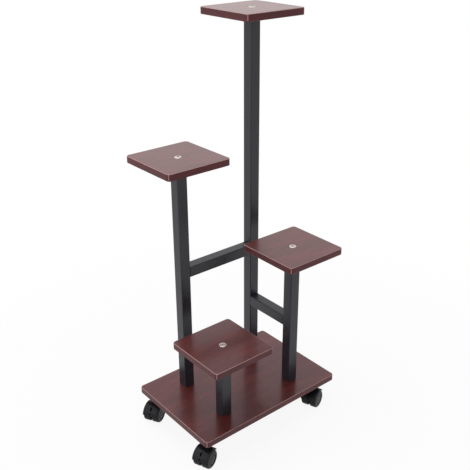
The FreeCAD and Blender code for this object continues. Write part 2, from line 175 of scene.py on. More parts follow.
def colour(name, note, code):
    """Property for a colour given as an sRGB hex code."""
    return FloatVectorProperty(name=name, description=note, default=linear(code), size=4, subtype="COLOR")


def set_inputs(node, values):
    """Sets or links inputs of a node; another node as a value stands for its first output in use."""
    for socket, value in values.items():
        if isinstance(value, bpy.types.Node):
            value = next(output for output in value.outputs if output.enabled)
        if isinstance(value, bpy.types.NodeSocket):
            node.id_data.links.new(value, node.inputs[socket])
        else:
            node.inputs[socket].default_value = value


def add_node(tree, kind, values=None, **settings):
    """Adds a node to a tree, with its settings, and sets or links its input sockets."""
    node = tree.nodes.new(kind)
    for name, setting in settings.items():
        setattr(node, name, setting)
    set_inputs(node, values or {})
    return node


def node_adder(owner):
    """Empties the node tree of a material or world, and gives the function that adds its nodes."""
    owner.use_nodes = True
    owner.node_tree.nodes.clear()
    return partial(add_node, owner.node_tree)


def new_object(name, data):
    """Object in the scene for a mesh, lamp or camera."""
    thing = bpy.data.objects.new(name, data)
    bpy.context.scene.collection.objects.link(thing)
    return thing


# Sizes and colours


class StandBoardSettings(bpy.types.PropertyGroup):
    """Faced boards of the stand."""

    corner_radius: length("Corner radius", "Rounding of the upright corners", 7.5)
    arris_radius: length("Arris radius", "Rounding of the long edges", 1.5)
    recess_width: length("Recess width", "Shallow round recess for the bolt head", 18.2)
    recess_depth: length("Recess depth", "Depth of the round recess", 1.6)
    bolt_hole: length("Bolt hole", "Hole through a shelf", 6.6)
    figure_width: length("Figure width", "Width of a band of the grain", 24)
    dark: colour("Dark grain", "Darkest tone of the grain", "#4e1c18")
    middle: colour("Middle grain", "Main tone of the grain", "#5b231e")
    light: colour("Light grain", "Lightest tone of the grain", "#682a24")
    pore: colour("Pores", "Tone of the short dark pores", "#310f0c")
    # Painted highlight: a paler colour laid along the arris for the light that it catches
    wear_and_highlight: colour("Painted arris highlight", "Paler tone painted along the arris as its highlight", "#d0aca6")


class StandSteelSettings(bpy.types.PropertyGroup):
    """Powder-coated tubes of the posts and rails."""

    powder: colour("Powder coat", "Main tone", "#24242c")
    powder_pale: colour("Powder coat, pale", "Paler mottling", "#2b2b34")
    peel_pitch: length("Orange peel", "Pitch of the fine ripple in the coat", 1.6)


class StandBoltSettings(bpy.types.PropertyGroup):
    """Joining bolts with a hexagon socket, and screws of the caster plates with a cross recess."""

    bolt_head_width: length("Bolt head width", "Across the domed head", 17)
    bolt_head_height: length("Bolt head height", "From seat to top", 2.2)
    bolt_recess_across: length("Bolt socket", "Hexagon socket across its flats", 5)
    bolt_recess_depth: length("Bolt socket depth", "Below the top", 1.7)
    bolt_shank_width: length("Bolt width", "Across the shank", 6)
    bolt_shank_length: length("Bolt length", "Under the head", 34.9)
    screw_head_width: length("Screw head width", "Across the domed head", 7.2)
    screw_head_height: length("Screw head height", "From seat to top", 2.2)
    screw_recess_across: length("Cross recess", "Length of each arm", 3.4)
    screw_recess_depth: length("Cross recess depth", "Below the top", 1.3)
    screw_shank_width: length("Screw width", "Across the shank", 3.5)
    screw_shank_length: length("Screw length", "Under the head", 13)
    nickel: colour("Nickel", "Bright plate", "#d6cbc6")


class StandCasterSettings(bpy.types.PropertyGroup):
    """Hooded twin-wheel casters."""

    hood_radius: length("Hood radius", "Outer radius of the mudguards about the axle", 24.8)
    hood_wall: length("Hood wall", "Wall of the mudguards", 3.1)
    hood_width: length("Hood width", "Width over both mudguards", 38)
    rim_radius: length("Rim radius", "Rounding of the outer rims of the hood", 3)
    wheel_radius: length("Wheel radius", "Radius of the tread", 21)
    tread_edge: length("Tread edge", "Rounding of the outer edge of the tread", 4)
    slot_width: length("Slot width", "Slot in the back of the hood", 3.8)
    slot_height: length("Slot height", "Height of the slot", 8.8)
    turning_steps: IntProperty(
        name="Turning steps", description="Facets of a turned piece", default=96, min=12, subtype="UNSIGNED",
    )
    nylon: colour("Nylon", "Main tone", "#131316")
    nylon_pale: colour("Nylon, pale", "Paler flow marks", "#1b1b1f")


class StandStageSettings(bpy.types.PropertyGroup):
    """Floor, light and camera."""

    floor_width: length("Floor width", "Side of the floor", 12000)
    dome: FloatProperty(
        name="Dome light", description="Strength of the light from all round", default=0.42, subtype="FACTOR",
    )
    key: FloatProperty(name="Key light", description="Large lamp on the left", default=10.0, unit="POWER")
    top: FloatProperty(name="Top light", description="Large lamp overhead", default=34.0, unit="POWER")
    lens: FloatProperty(
        name="Lens", description="Focal length on a 36 mm sensor", default=55.69, unit="CAMERA",
    )


SETTINGS = {
    "stand_boards": StandBoardSettings,
    "stand_steel": StandSteelSettings,
    "stand_bolts": StandBoltSettings,
    "stand_casters": StandCasterSettings,
    "stand_stage": StandStageSettings,
}


# Finishes


def new_finish(name):
    """Material with only its main shader, joined to the output, and the function that adds its nodes."""
    material = bpy.data.materials.new(name)
    add = node_adder(material)
    shader = add("ShaderNodeBsdfPrincipled")
    add("ShaderNodeOutputMaterial", {"Surface": shader})
    return material, add, shader


def mahogany_print(name, settings, tone, roughness):
    """Printed mahogany grain; tone is its share of the set colours and roughness its least and most."""
    material, add, shader = new_finish(name)
    grain = add("ShaderNodeUVMap", uv_map="grain")

    def stretched_noise(long, wide, detail, distortion=0.0):
        place = add("ShaderNodeMapping", {"Vector": grain, "Scale": (1 / long, 1 / wide, 1)})
        return add("ShaderNodeTexNoise", {
            "Vector": place, "Scale": 1.0, "Detail": detail, "Roughness": 0.55, "Distortion": distortion,
        })

    # Bands of the figure, some 140 mm long, through the three tones of the print
    figure = stretched_noise(140 * MM, settings.figure_width, 2.0, distortion=0.6)
    ramp = add("ShaderNodeValToRGB", {"Fac": figure})
    dark, light = ramp.color_ramp.elements
    dark.position, dark.color = 0.3, settings.dark
    light.position, light.color = 0.7, settings.light
    ramp.color_ramp.elements.new(0.5).color = settings.middle

    # Streaks 2 mm wide and some 45 mm long
    streaks = stretched_noise(45 * MM, 2 * MM, 2.0)
    streak_tone = add("ShaderNodeMapRange", {
        "Value": streaks, "From Min": 0.3, "From Max": 0.7, "To Min": 0.92 * tone, "To Max": 1.07 * tone,
    })
    streaked = add("ShaderNodeMix", {0: 1, 6: ramp, 7: streak_tone}, data_type="RGBA", blend_type="MULTIPLY")

    # Pores are 0.15 mm wide and 2 mm long on real mahogany, drawn 1.5 by 20 mm so that they show
    pores = stretched_noise(20 * MM, 1.5 * MM, 1.0)
    pore_depth = add("ShaderNodeMapRange", {
        "Value": pores, "From Min": 0.54, "From Max": 0.72, "To Max": 0.9,
    })
    toned = add("ShaderNodeMix", {0: pore_depth, 6: streaked, 7: settings.pore}, data_type="RGBA")

    # Painted highlight on the arris: a pale line 1 mm wide, where the foil is bent round the edge, painted in
    # as the light that the rounding catches
    highlight_mask = add("ShaderNodeAttribute", attribute_name="arris").outputs["Fac"]
    highlight_share = add("ShaderNodeMapRange", {
        "Value": highlight_mask, "From Min": 0.4, "From Max": 1.0, "To Max": 0.8,
    })
    edged = add("ShaderNodeMix", {0: highlight_share, 6: toned, 7: settings.wear_and_highlight}, data_type="RGBA")

    dull = add("ShaderNodeMapRange", {"Value": streaks, "To Min": roughness[0], "To Max": roughness[1]})
    bump = add("ShaderNodeBump", {"Height": pore_depth, "Strength": 0.35, "Distance": 0.05 * MM}, invert=True)
    set_inputs(shader, {
        "Base Color": edged, "Roughness": dull, "Normal": bump,
        "IOR": 1.5, "Specular Tint": linear("#ffdaee"),
    })
    return material, shader


def mahogany_foil(settings):
    # Foil on the faces, printed mahogany grain under clear satin lacquer: a dark red ground with long soft
    # bands, fine streaks and short pores, and over it a smooth coat that mirrors the posts and the pale room
    material, shader = mahogany_print("mahogany_foil_lacquered", settings, tone=1.0, roughness=(0.3, 0.42))
    set_inputs(shader, {"Coat Weight": 0.4, "Coat Roughness": 0.16, "Coat IOR": 1.5})
    return material


def mahogany_backing(settings):
    # Edge band and backing film, printed to match and without the lacquer of the faces, so that they mirror
    # less of the room; their print is a shade darker than the faces, which is painted shade for the dimmer
    # upright sides
    return mahogany_print("mahogany_film_unlacquered", settings, tone=0.96, roughness=(0.4, 0.52))[0]


def mottled_finish(name, tones, roughness, mottle_pitch, grit_pitch, grit_depth, metallic=0.0, specular=0.5):
    """Material with two mottled tones, a roughness that varies with them, and a fine surface grit."""
    material, add, shader = new_finish(name)
    place = add("ShaderNodeTexCoord").outputs["Object"]
    mottle = add("ShaderNodeTexNoise", {"Vector": place, "Scale": 1 / mottle_pitch, "Detail": 3.0})
    spread = add("ShaderNodeMapRange", {"Value": mottle, "From Min": 0.35, "From Max": 0.65})
    tone = add("ShaderNodeMix", {0: spread, 6: tones[0], 7: tones[1]}, data_type="RGBA")
    dull = add("ShaderNodeMapRange", {
        "Value": mottle, "From Min": 0.3, "From Max": 0.7, "To Min": roughness[0], "To Max": roughness[1],
    })
    grit = add("ShaderNodeTexNoise", {"Vector": place, "Scale": 1 / grit_pitch, "Detail": 1.0})
    bump = add("ShaderNodeBump", {"Height": grit, "Strength": 0.5, "Distance": grit_depth})
    set_inputs(shader, {
        "Base Color": tone, "Roughness": dull, "Normal": bump,
        "Metallic": metallic, "Specular IOR Level": specular,
    })
    return material, add, shader


def powder_coat(settings):
    # Powder sprayed on the tubes and baked: an even satin near-black film with a fine orange peel that
    # softens each highlight
    return mottled_finish(
        "powder_coat_satin_black", (settings.powder, settings.powder_pale), roughness=(0.3, 0.4),
        mottle_pitch=14 * MM, grit_pitch=settings.peel_pitch, grit_depth=0.05 * MM, specular=0.45,
    )[0]


def black_oxide():
    # Thin oiled oxide on pressed steel: dark grey metal that still mirrors a little, cloudy in patches
    return mottled_finish(
        "black_oxide_pressed_steel", (linear("#2b2c30"), linear("#3b3c40")), roughness=(0.34, 0.5),
        mottle_pitch=5 * MM, grit_pitch=0.9 * MM, grit_depth=0.02 * MM, metallic=1.0,
    )[0]


def zinc_plate():
    # Clear passivated zinc on turned steel: pale blue-grey metal with a fine cloudy spangle
    return mottled_finish(
        "zinc_plate_turned_pin", (linear("#a9abb0"), linear("#bfc0c4")), roughness=(0.28, 0.42),
        mottle_pitch=2 * MM, grit_pitch=0.8 * MM, grit_depth=0.01 * MM, metallic=1.0,
    )[0]


def plug_nylon():
    # Black glass-filled nylon straight from the mould: matt, with faint flow marks
    return mottled_finish(
        "nylon_moulded_plug", (linear("#161617"), linear("#1f1f21")), roughness=(0.5, 0.62),
        mottle_pitch=6 * MM, grit_pitch=0.8 * MM, grit_depth=0.03 * MM,
    )[0]


def hood_nylon(settings):
    # Black nylon from a spark-eroded mould: a satin skin with a fine even grain; the grain is 0.3 mm on
    # the real hood and drawn at 0.9 mm so that it shows
    return mottled_finish(
        "nylon_moulded_hood", (settings.nylon, settings.nylon_pale), roughness=(0.36, 0.5),
        mottle_pitch=9 * MM, grit_pitch=0.9 * MM, grit_depth=0.03 * MM, specular=0.2,
    )[0]


def wheel_nylon(settings):
    # The nylon of the hoods, polished in the mould on the faces, with the tread scuffed grey and dull
    # by the floor
    material, add, shader = mottled_finish(
        "nylon_moulded_wheel", (settings.nylon, settings.nylon_pale), roughness=(0.34, 0.46),
        mottle_pitch=7 * MM, grit_pitch=0.9 * MM, grit_depth=0.02 * MM, specular=0.17,
    )
    radius = add("ShaderNodeAttribute", attribute_name="turning").outputs["Fac"]
    scuff = add("ShaderNodeMapRange", {
        "Value": radius, "From Min": 20.3 * MM, "From Max": 21 * MM, "To Max": 0.6,
    })
    clean = shader.inputs["Base Color"].links[0].from_socket
    wear_and_highlight = add("ShaderNodeMix", {0: scuff, 6: clean, 7: linear("#333335")}, data_type="RGBA")
    polished = shader.inputs["Roughness"].links[0].from_socket
    dulled = add("ShaderNodeMath", {0: polished, 1: scuff}, operation="MAXIMUM")
    set_inputs(shader, {"Base Color": wear_and_highlight, "Roughness": dulled})
    return material


def nickel_plate(settings):
    # Steel turned, then nickel-plated: warm white metal with fine rings about the middle of the head, which
    # are 0.15 mm apart on the real head and drawn at 0.5 mm
    material, add, shader = new_finish("nickel_plate_turned_head")
    radius = add("ShaderNodeAttribute", attribute_name="turning").outputs["Fac"]
    rings = add("ShaderNodeTexNoise", {
        "W": radius, "Scale": 1 / (0.5 * MM), "Detail": 2.0,
    }, noise_dimensions="1D")
    tone = add("ShaderNodeMix", {0: rings, 6: linear("#bbada9"), 7: settings.nickel}, data_type="RGBA")
    dull = add("ShaderNodeMapRange", {"Value": rings, "To Min": 0.16, "To Max": 0.34})
    bump = add("ShaderNodeBump", {"Height": rings, "Strength": 0.4, "Distance": 0.03 * MM})
    set_inputs(shader, {"Base Color": tone, "Roughness": dull, "Normal": bump, "Metallic": 1.0})
    return material


# Meshes


def new_mesh(name, bm):
    """Plain mesh from bmesh data, which is freed."""
    mesh = bpy.data.meshes.new(name)
    bm.to_mesh(mesh)
    bm.free()
    return mesh


def shade(mesh):
    """Shades a mesh smooth up to its sharp edges."""
    mesh.shade_smooth()
    mesh.set_sharp_from_angle(angle=SHARP_ANGLE)
    return mesh


def finish_mesh(mesh):
    """Closes the seams of a mesh, turns its faces outwards and shades it."""
    bm = bmesh.new()
    bm.from_mesh(mesh)
    bmesh.ops.remove_doubles(bm, verts=bm.verts, dist=SEAM)
    bmesh.ops.recalc_face_normals(bm, faces=bm.faces)
    bm.to_mesh(mesh)
    bm.free()
    return shade(mesh)


def add_piece(name, mesh, material, body, slot, *nodes):
    """Adds a finished mesh as a piece that rides on a body and stands for CAD nodes."""
    mesh.materials.clear()
    mesh.materials.append(material)
    piece = new_object(name, mesh)
    if nodes:
        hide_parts(*nodes)
    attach(piece, body)
    return piece


def finish_node(name, material):
    """Gives a CAD node its finish."""
    slots = frame["nodes"][name].data.materials
    slots.clear()
    slots.append(material)


def modified_mesh(mesh, kind, inputs=None, **settings):
    """Mesh with one modifier applied; the inputs are those of a tree, by socket identifier."""
    holder = new_object("holder", mesh)
    modifier = holder.modifiers.new("shape", kind)
    for name, setting in settings.items():
        setattr(modifier, name, setting)
    for identifier, value in (inputs or {}).items():
        modifier[identifier] = value
    result = bpy.data.meshes.new_from_object(holder.evaluated_get(bpy.context.evaluated_depsgraph_get()))
    holder.modifiers.clear()
    bpy.data.objects.remove(holder)
    return result


def with_nodes(mesh, tree, values):
    """Mesh as a Geometry Nodes tree makes it, with the tree's named inputs set."""
    names = {item.name: item.identifier for item in tree.interface.items_tree if item.in_out == "INPUT"}
    inputs = {names[name]: value for name, value in values.items()}
    return modified_mesh(mesh, "NODES", inputs, node_group=tree)


def cut_away(mesh, cutter):
    """Mesh with the space of a cutter taken out of it."""
    tool = new_object("cutter", cutter)
    result = modified_mesh(mesh, "BOOLEAN", operation="DIFFERENCE", solver="EXACT", object=tool)
    bpy.data.objects.remove(tool)
    return result


def new_tree(name, inputs):
    """Geometry Nodes tree with its geometry sockets and, by kind, its named inputs."""
    tree = bpy.data.node_groups.new(name, "GeometryNodeTree")
    tree.interface.new_socket("Geometry", in_out="INPUT", socket_type="NodeSocketGeometry")
    tree.interface.new_socket("Geometry", in_out="OUTPUT", socket_type="NodeSocketGeometry")
    for kind, labels in inputs.items():
        for label in labels:
            tree.interface.new_socket(label, in_out="INPUT", socket_type=f"NodeSocket{kind}")
    return tree


def mark_turning(add, geometry):
    """Keeps each point's distance from the Z axis as the attribute that the turned finishes read."""
    place = add("GeometryNodeInputPosition")
    flat = add("ShaderNodeVectorMath", {0: place, 1: (1, 1, 0)}, operation="MULTIPLY")
    radius = add("ShaderNodeVectorMath", {0: flat}, operation="LENGTH")
    return add("GeometryNodeStoreNamedAttribute", {
        "Geometry": geometry, "Name": "turning", "Value": radius,
    }, data_type="FLOAT", domain="POINT")


def end_tree(add, geometry, material):
    """Ends a tree with its instances made real and in their finish."""
    solid = add("GeometryNodeRealizeInstances", {"Geometry": geometry})
    finished = add("GeometryNodeSetMaterial", {"Geometry": solid, "Material": material})
    add("NodeGroupOutput", {0: finished})


def turned_tree():
    """Turned piece: a profile of radius and height is rounded, turned about Z and closed."""
    inputs = {"Float": ("Rounding",), "Int": ("Turning Steps",), "Material": ("Finish",)}
    tree = new_tree("turned_piece", inputs)
    add = partial(add_node, tree)
    given = add("NodeGroupInput").outputs
    line = add("GeometryNodeMeshToCurve", {"Mesh": given["Geometry"]})
    rounded = add("GeometryNodeFilletCurve", {
        "Curve": line, "Count": FILLET_STEPS, "Radius": given["Rounding"], "Limit Radius": True,
    }, mode="POLY")
    circle = add("GeometryNodeCurvePrimitiveCircle", {
        "Resolution": given["Turning Steps"], "Radius": LEAST_RADIUS,
    })
    turned = add("GeometryNodeCurveToMesh", {"Curve": circle, "Profile Curve": rounded})
    closed = add("GeometryNodeMergeByDistance", {"Geometry": turned, "Distance": TURNED_SEAM})
    end_tree(add, mark_turning(add, closed), given["Finish"])
    return tree


def turned_mesh(name, profile, rounding, material):
    """Plain mesh of a profile of (radius, height) points, from the top of the axis outwards and down."""
    line = bpy.data.meshes.new(name)
    edges = [(i, i + 1) for i in range(len(profile) - 1)]
    line.from_pydata([(radius, -height, 0) for radius, height in profile], edges, [])
    steps = bpy.context.scene.stand_casters.turning_steps
    values = {"Rounding": rounding, "Turning Steps": steps, "Finish": material}
    return finish_mesh(with_nodes(line, turned_tree(), values))


def fastener_tree():
    """Domed head with a hexagon or cross recess and a plain shank, set on each of the given points."""
    tree = new_tree("fastener", {
        "Float": (*FASTENER_SIZES, "Tilt"),
        "Bool": ("Cross Recess",), "Int": ("Seed",), "Material": ("Finish",),
    })
    add = partial(add_node, tree)
    given = add("NodeGroupInput").outputs
    height, across = given["Head Height"], given["Recess Across"]
    radius, hexagon_radius, arm, depth, shank_radius, shank_middle = (
        add("ShaderNodeMath", {0: given[label], 1: share}, operation="MULTIPLY")
        for label, share in (
            ("Head Width", 0.5), ("Recess Across", HEXAGON_RADIUS_SHARE), ("Recess Across", CROSS_ARM_SHARE),
            ("Recess Depth", 2.0), ("Shank Width", 0.5), ("Shank Length", SHANK_MIDDLE_SHARE),
        )
    )
    head_size, top, arm_x, arm_y, shank_place = (
        add("ShaderNodeCombineXYZ", {"X": x, "Y": y, "Z": z}) for x, y, z in (
            (radius, radius, height), (0.0, 0.0, height), (across, arm, depth), (arm, across, depth),
            (0.0, 0.0, shank_middle),
        )
    )

    # Head: its side view in a unit square, from the middle of the dome to the underside, turned and sized;
    # the least circle and the seam are shares of its radius
    side_view = add("GeometryNodeJoinGeometry")
    for start, middle, end in (
        ((0, -1, 0), (0.62, -1, 0), (0.88, -0.8, 0)),
        ((0.88, -0.8, 0), (0.99, -0.7, 0), (1, -0.45, 0)),
        ((1, -0.45, 0), (1, -0.2, 0), (0.97, 0, 0)),
        ((0.97, 0, 0), (0.5, 0, 0), (0, 0, 0)),
    ):
        piece = add("GeometryNodeCurveQuadraticBezier", {
            "Resolution": DOME_STEPS, "Start": start, "Middle": middle, "End": end,
        })
        set_inputs(side_view, {"Geometry": piece})
    circle = add("GeometryNodeCurvePrimitiveCircle", {"Resolution": HEAD_STEPS, "Radius": 0.00001})
    turned = add("GeometryNodeCurveToMesh", {"Curve": circle, "Profile Curve": side_view})
    closed = add("GeometryNodeMergeByDistance", {"Geometry": turned, "Distance": 0.0005})
    head = add("GeometryNodeTransform", {"Geometry": closed, "Scale": head_size})

    # Recess, sunk from the top of the head
    hexagon = add("GeometryNodeMeshCylinder", {"Vertices": 6, "Radius": hexagon_radius, "Depth": depth})
    arms = add("GeometryNodeJoinGeometry")
    for size in (arm_x, arm_y):
        box = add("GeometryNodeMeshCube", {"Size": size})
        set_inputs(arms, {"Geometry": box})
    shape = add("GeometryNodeSwitch", {
        "Switch": given["Cross Recess"], "False": hexagon, "True": arms,
    }, input_type="GEOMETRY")
    cutter = add("GeometryNodeTransform", {"Geometry": shape, "Translation": top})
    recessed = add("GeometryNodeMeshBoolean", {
        "Mesh 1": head, "Mesh 2": cutter, "Self Intersection": True,
    }, operation="DIFFERENCE", solver="EXACT")

    # Shank, down from a little inside the head
    shank = add("GeometryNodeMeshCylinder", {
        "Vertices": SHANK_STEPS, "Radius": shank_radius, "Depth": given["Shank Length"],
    })
    lowered = add("GeometryNodeTransform", {"Geometry": shank, "Translation": shank_place})
    whole = add("GeometryNodeJoinGeometry")
    for part in (recessed, lowered):
        set_inputs(whole, {"Geometry": part})

    # One on each point, each driven home to its own angle
    spin = add("FunctionNodeRandomValue", {2: 0.0, 3: tau, "Seed": given["Seed"]}, data_type="FLOAT")
    turn = add("ShaderNodeCombineXYZ", {"X": given["Tilt"], "Z": spin})
    placed = add("GeometryNodeInstanceOnPoints", {
        "Points": given["Geometry"], "Instance": mark_turning(add, whole), "Rotation": turn,
    })
    end_tree(add, placed, given["Finish"])
    return tree


def fasteners_mesh(name, kind, points, material, tilt, seed):
    """Plain mesh of the bolts or screws on a list of points; the kind begins the names of its sizes."""
    spots = bpy.data.meshes.new(name)
    spots.from_pydata(points, [], [])
    settings = bpy.context.scene.stand_bolts
    values = {size: getattr(settings, f"{kind}_{size.lower().replace(' ', '_')}") for size in FASTENER_SIZES}
    values |= {"Cross Recess": kind == "screw", "Tilt": tilt, "Seed": seed, "Finish": material}
    return finish_mesh(with_nodes(spots, fastener_tree(), values))


def arc(centre, radius, start, end, steps):
    """Points of an arc between two angles in degrees."""
    turns = [radians(start + (end - start) * i / steps) for i in range(steps + 1)]
    return [(centre[0] + radius * cos(turn), centre[1] + radius * sin(turn)) for turn in turns]


def join_rings(bm, rings):
    """Adds a band of faces between each closed ring of vertices and the next."""
    for ring, following in zip(rings, rings[1:]):
        for i in range(len(ring)):
            after = (i + 1) % len(ring)
            bm.faces.new((ring[i], ring[after], following[after], following[i]))


def rounded_outline(half_x, half_y, radius):
    """Points of a rounded rectangle, anticlockwise, with points along its straight sides too."""
    corners = []
    for quarter, (x_side, y_side) in enumerate(((1, 1), (-1, 1), (-1, -1), (1, -1))):
        centre = (x_side * (half_x - radius), y_side * (half_y - radius))
        points = arc(centre, radius, 90 * quarter, 90 * (quarter + 1), CORNER_STEPS)
        corners.append([Vector(point) for point in points])
    outline = []
    for corner, following in zip(corners, corners[1:] + corners[:1]):
        outline += corner
        outline += [corner[-1].lerp(following[0], i / SIDE_STEPS) for i in range(1, SIDE_STEPS)]
    return outline


def map_grain(mesh, order):
    """Lays the print along X on the faces of a board and along the length of each edge, in metres."""
    grain = mesh.uv_layers.new(name="grain")
    shift = Vector([step * order for step in PRINT_STEP])
    for face in mesh.polygons:
        for loop in face.loop_indices:
            place = mesh.vertices[mesh.loops[loop].vertex_index].co
            if abs(face.normal.z) > LEVEL_ENOUGH:
                spot = Vector((place.x, place.y))
            elif abs(face.normal.y) > abs(face.normal.x):
                spot = Vector((place.x, place.z + EDGE_SHIFTS[0]))
            else:
                spot = Vector((place.y, place.z + EDGE_SHIFTS[1]))
            grain.data[loop].uv = spot + shift


def board_mesh(name, settings, order, recessed):
    """Board with rounded corners and arrises; a shelf also has its bolt hole and the recess of the head."""
    low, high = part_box(name)
    centre = (low + high) / 2
    half = (high - low) / 2
    arris = settings.arris_radius
    inner = arris + ARRIS_SUPPORT
    quarter = [radians(90 * i / ROUNDING_STEPS) for i in range(ROUNDING_STEPS + 1)]
    # Inset and height of each ring, from the underside round the edge to the top
    profile = [(inner, low.z)]
    profile += [(arris * (1 - sin(turn)), low.z + arris * (1 - cos(turn))) for turn in quarter]
    profile += [(0, low.z + inner), (0, high.z - inner)]
    profile += [(arris * (1 - cos(turn)), high.z - arris * (1 - sin(turn))) for turn in quarter]
    profile += [(inner, high.z)]
    rings = []
    for inset, height in profile:
        corner = max(settings.corner_radius - inset, LEAST_CORNER)
        outline = rounded_outline(half.x - inset, half.y - inset, corner)
        rings.append([Vector((point.x, point.y, height)) for point in outline])
    if recessed:
        angles = [atan2(point.y, point.x) for point in rings[-1]]
        recess = settings.recess_width / 2
        hole = settings.bolt_hole / 2
        floor = high.z - settings.recess_depth
        for radius, height in (
            (recess + RECESS_RIM, high.z), (recess, high.z - RECESS_RIM), (recess, floor),
            (hole, floor), (hole, low.z),
        ):
            rings.append([Vector((radius * cos(angle), radius * sin(angle), height)) for angle in angles])

    # Share of the painted highlight: most in the middle of the upper arris and of the upright corners, none
    # on the faces
    ring_shares = [0] * (len(profile) - len(quarter) - 1) + [sin(2 * turn) for turn in quarter] + [0]
    upright_shares = [0] * (len(quarter) + 1) + [1, 1] + [cos(turn) for turn in quarter] + [0]
    corner_line = [sin(pi * i / CORNER_STEPS) ** CORNER_LINE_POWER for i in range(CORNER_STEPS + 1)]
    corner_shares = 4 * (corner_line + [0] * (SIDE_STEPS - 1))
    bm = bmesh.new()
    highlight_layer = bm.verts.layers.float.new("arris")
    verts = [
        [bm.verts.new((point.x + centre.x, point.y + centre.y, point.z)) for point in ring] for ring in rings
    ]
    for ring, ring_share, upright_share in zip(verts, ring_shares, upright_shares):
        for vert, corner_share in zip(ring, corner_shares):
            vert[highlight_layer] = max(ring_share, upright_share * corner_share)
    join_rings(bm, verts + verts[:1] if recessed else verts)
    if not recessed:
        bm.faces.new(verts[0])
        bm.faces.new(verts[-1])
    mesh = finish_mesh(new_mesh(name, bm))
    map_grain(mesh, order)
    return mesh


def back_board(mesh, film, settings):
    """Gives the sides and the underside of a board their film; the walls of its recess keep the foil."""
    mesh.materials.append(film)
    centre = sum((vert.co for vert in mesh.vertices), Vector()) / len(mesh.vertices)
    for face in mesh.polygons:
        near_bolt = (face.center - centre).xy.length < settings.recess_width
        in_recess = near_bolt and face.normal.z > -LEVEL_ENOUGH
        if face.normal.z <= LEVEL_ENOUGH and not in_recess:
            face.material_index = 1


def hem_plane(settings):
    """Point and upward normal of the slanting hem of the hood."""
    reach = settings.hood_radius + settings.hood_wall
    back = Vector((TRAIL + reach, 0, AXLE_HEIGHT + BACK_HEM_RISE))
    front = Vector((TRAIL - reach, 0, AXLE_HEIGHT + FRONT_HEM_RISE))
    along = front - back
    return back, Vector((along.z, 0, -along.x)).normalized()


def bevel_rims(bm, faces, offset):
    """Softens all edges of some faces."""
    edges = list({edge for face in faces for edge in face.edges})
    bmesh.ops.bevel(bm, geom=edges, offset=offset, segments=BEVEL_STEPS, profile=0.5, affect="EDGES")


def mudguard_mesh(settings):
    """Mudguards: a band with rounded rims, bent about the axle and cut off along the hem."""
    outer = settings.hood_radius
    inner = outer - settings.hood_wall
    half = settings.hood_width / 2
    rim = settings.rim_radius
    section = [(-half, inner), (half, inner)]
    section += arc((half - rim, outer - rim), rim, 0, 90, ROUNDING_STEPS)
    section += arc((rim - half, outer - rim), rim, 90, 180, ROUNDING_STEPS)
    bm = bmesh.new()
    rows = []
    for step in range(MUDGUARD_STEPS + 1):
        turn = radians(MUDGUARD_START + MUDGUARD_SWEEP * step / MUDGUARD_STEPS)
        back, up = cos(turn), sin(turn)
        rows.append([bm.verts.new((TRAIL + r * back, y, AXLE_HEIGHT + r * up)) for y, r in section])
    join_rings(bm, rows)
    point, normal = hem_plane(settings)
    everything = bm.verts[:] + bm.edges[:] + bm.faces[:]
    bmesh.ops.bisect_plane(bm, geom=everything, plane_co=point, plane_no=normal, clear_inner=True)
    caps = bmesh.ops.holes_fill(bm, edges=[edge for edge in bm.edges if edge.is_boundary])["faces"]
    bmesh.ops.recalc_face_normals(bm, faces=bm.faces)
    bevel_rims(bm, caps, HEM_SOFTENING)
    return new_mesh("mudguards", bm)


def prism_mesh(outline, half, place, softening=0.0):
    """Closed plate of an outline; place gives the position of an outline point at a side, -half or half."""
    bm = bmesh.new()
    sides = [[bm.verts.new(place(point, offset)) for point in outline] for offset in (-half, half)]
    faces = [bm.faces.new(side) for side in sides]
    join_rings(bm, sides)
    bmesh.ops.recalc_face_normals(bm, faces=bm.faces)
    if softening:
        bevel_rims(bm, faces, softening)
    return new_mesh("plate", bm)


def web_mesh(settings):
    """Web between the wheels: it fills the hood down to the hem, with a round lug at the axle."""
    point, normal = hem_plane(settings)
    axle = Vector((TRAIL, 0, AXLE_HEIGHT))
    reach = settings.hood_radius - WEB_DEPTH_IN_WALL
    middle = degrees(atan2(normal.z, normal.x))
    spread = degrees(acos((point - axle).dot(normal) / reach))

    def hem_point(x):
        return x, point.z - (x - point.x) * normal.x / normal.z

    outline = arc(axle.xz, reach, middle - spread, middle + spread, WEB_STEPS)
    outline.append(hem_point(TRAIL - LUG_RADIUS))
    outline += arc(axle.xz, LUG_RADIUS, 180, 360, LUG_STEPS)
    outline.append(hem_point(TRAIL + LUG_RADIUS))
    return prism_mesh(
        outline, WEB_HALF_THICKNESS, lambda spot, offset: (spot[0], offset, spot[1]), WEB_SOFTENING,
    )


def crown_mesh(material):
    """Crown: the neck that flares from under the plate into the hood, with the socket of the stem."""
    profile = [(radius * MM, height * MM) for radius, height in reversed(CROWN_PROFILE)]
    return turned_mesh("crown", profile, CROWN_ROUNDING, material)


def slot_mesh(settings, middle, height):
    """Cutter of a round-ended slot in the back of the hood, or of a hole where height is width."""
    radius = settings.slot_width / 2
    reach = height / 2 - radius
    outline = arc((0, middle + reach), radius, 0, 180, CORNER_STEPS)
    outline += arc((0, middle - reach), radius, 180, 360, CORNER_STEPS)
    centre = TRAIL + settings.hood_radius / 2 + CUT_HALF_DEPTH
    return prism_mesh(outline, CUT_HALF_DEPTH, lambda spot, offset: (centre + offset, spot[0], spot[1]))


def hood_mesh(settings, material):
    """Whole hood of a caster whose stem stands on the origin and whose axle lies behind it on +X."""
    slot = slot_mesh(settings, AXLE_HEIGHT + SLOT_RISE, settings.slot_height)
    peg_hole = slot_mesh(settings, AXLE_HEIGHT + PEG_HOLE_RISE, settings.slot_width)
    bm = bmesh.new()
    for part in (mudguard_mesh(settings), web_mesh(settings)):
        bm.from_mesh(cut_away(cut_away(part, slot), peg_hole))
    bm.from_mesh(crown_mesh(material))
    return shade(new_mesh("hood", bm))


